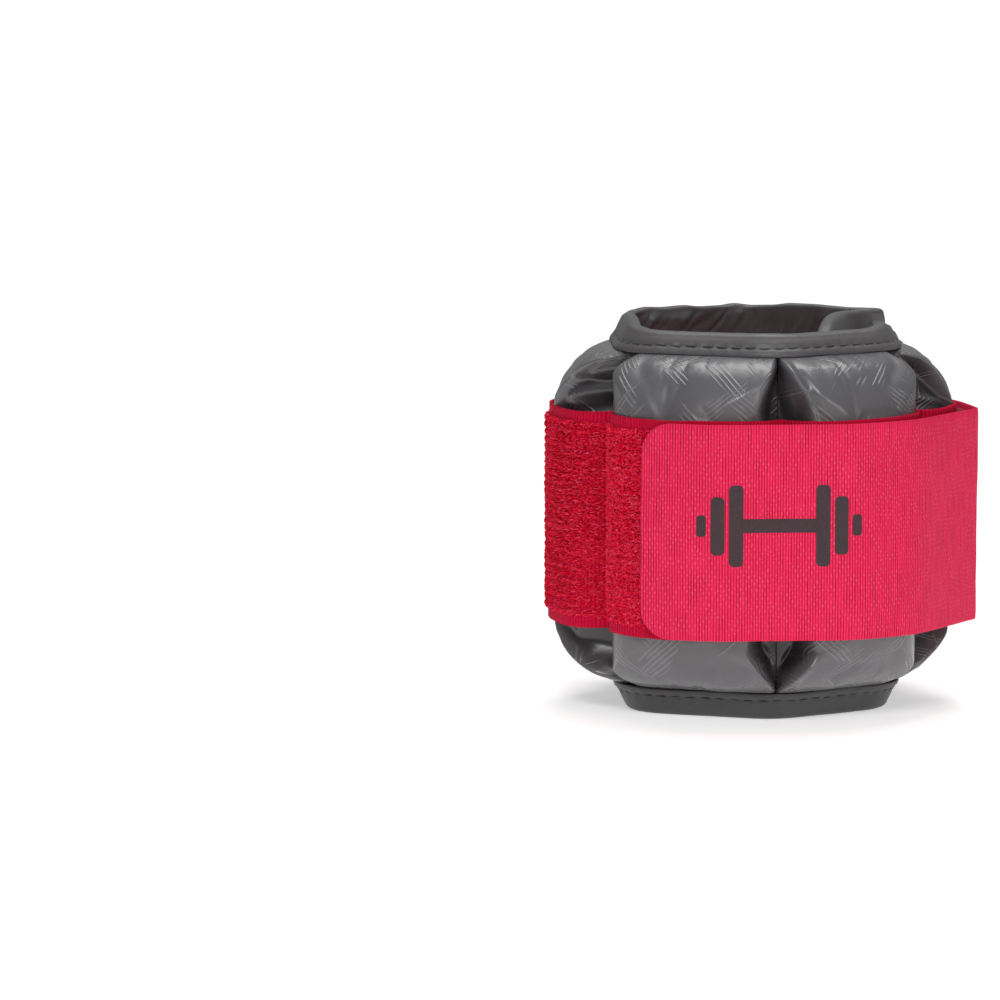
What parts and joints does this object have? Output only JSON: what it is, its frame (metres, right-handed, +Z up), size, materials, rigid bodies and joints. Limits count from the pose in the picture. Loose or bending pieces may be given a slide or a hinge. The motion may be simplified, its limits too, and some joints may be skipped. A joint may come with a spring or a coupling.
{
  "type": "ankle weight",
  "caption": "Wrap-around ankle weight of sand-filled pouches between a smooth coated shell and a brushed lining, closed by a hook-and-loop strap over a tuck-in tab",
  "frame": {"origin": "middle of the bounding box in plan, on the floor plane that the lower binding stands on", "axes": "+Z up along the leg opening; -Y is the front, where the strap's end lies; +X is the side where the tab tucks in"},
  "size_m": [0.0998, 0.0972, 0.09],
  "materials": {
    "shell_pu": "satin",
    "binding_pu": "satin",
    "lining_red": "matte",
    "sand_bag": "matte",
    "loop_red": "matte",
    "web_red": "matte",
    "hook_red": "satin"
  },
  "bodies": {
    "pouch_a": {"shell_a": "shell_pu", "sand_bag_a": "sand_bag", "lining_a": "lining_red", "binding_upper_a": "binding_pu", "binding_lower_a": "binding_pu", "loop_a": "loop_red", "binding_end_a": "binding_pu"},
    "pouch_b": {"shell_b": "shell_pu", "sand_bag_b": "sand_bag", "lining_b": "lining_red", "binding_upper_b": "binding_pu", "binding_lower_b": "binding_pu", "loop_b": "loop_red"},
    "pouch_c": {"shell_c": "shell_pu", "sand_bag_c": "sand_bag", "lining_c": "lining_red", "binding_upper_c": "binding_pu", "binding_lower_c": "binding_pu", "loop_c": "loop_red"},
    "pouch_d": {"shell_d": "shell_pu", "sand_bag_d": "sand_bag", "lining_d": "lining_red", "binding_upper_d": "binding_pu", "binding_lower_d": "binding_pu", "loop_d": "loop_red"},
    "pouch_e": {"shell_e": "shell_pu", "sand_bag_e": "sand_bag", "lining_e": "lining_red", "binding_upper_e": "binding_pu", "binding_lower_e": "binding_pu", "loop_e": "loop_red"},
    "pouch_f": {"shell_f": "shell_pu", "sand_bag_f": "sand_bag", "lining_f": "lining_red", "binding_upper_f": "binding_pu", "binding_lower_f": "binding_pu", "loop_f": "loop_red", "tab_cover": "shell_pu", "tab_lining": "lining_red", "tab_binding_upper": "binding_pu", "tab_binding_lower": "binding_pu", "tab_binding_end": "binding_pu", "strap_span": "web_red"},
    "strap": {"strap_hook": "hook_red", "strap_web": "web_red"},
    "strap_tip": {"strap_tip_hook": "hook_red", "strap_tip_web": "web_red"}
  },
  "joints": [
    {"name": "seam_cd", "type": "hinge", "parent": "pouch_d", "child": "pouch_c", "pos_m": [-0.03288, -0.02158, 0.045], "axis": [0, 0, -1], "range_deg": [0, 24]},
    {"name": "seam_bc", "type": "hinge", "parent": "pouch_c", "child": "pouch_b", "pos_m": [0.00292, -0.03507, 0.045], "axis": [0, 0, -1], "range_deg": [0, 24]},
    {"name": "seam_ab", "type": "hinge", "parent": "pouch_b", "child": "pouch_a", "pos_m": [0.03162, -0.01608, 0.045], "axis": [0, 0, -1], "range_deg": [0, 24]},
    {"name": "seam_de", "type": "hinge", "parent": "pouch_d", "child": "pouch_e", "pos_m": [-0.03438, 0.01702, 0.045], "axis": [0, 0, 1], "range_deg": [0, 24]},
    {"name": "seam_ef", "type": "hinge", "parent": "pouch_e", "child": "pouch_f", "pos_m": [-0.00458, 0.03783, 0.045], "axis": [0, 0, 1], "range_deg": [0, 24]},
    {"name": "strap_peel", "type": "hinge", "parent": "pouch_f", "child": "strap", "pos_m": [0.04976, -0.00871, 0.045], "axis": [0, 0, 1], "range_deg": [0, 150]},
    {"name": "strap_tip_peel", "type": "hinge", "parent": "strap", "child": "strap_tip", "pos_m": [0.00272, -0.04665, 0.045], "axis": [0, 0, 1], "range_deg": [0, 90]}
  ],
  "couplings": [
    {"joint": "seam_bc", "follows": "seam_cd", "ratio": 1},
    {"joint": "seam_ab", "follows": "seam_cd", "ratio": 1},
    {"joint": "seam_de", "follows": "seam_cd", "ratio": 1},
    {"joint": "seam_ef", "follows": "seam_cd", "ratio": 1},
    {"joint": "strap_peel", "follows": "seam_cd", "ratio": 6.25}
  ]
}
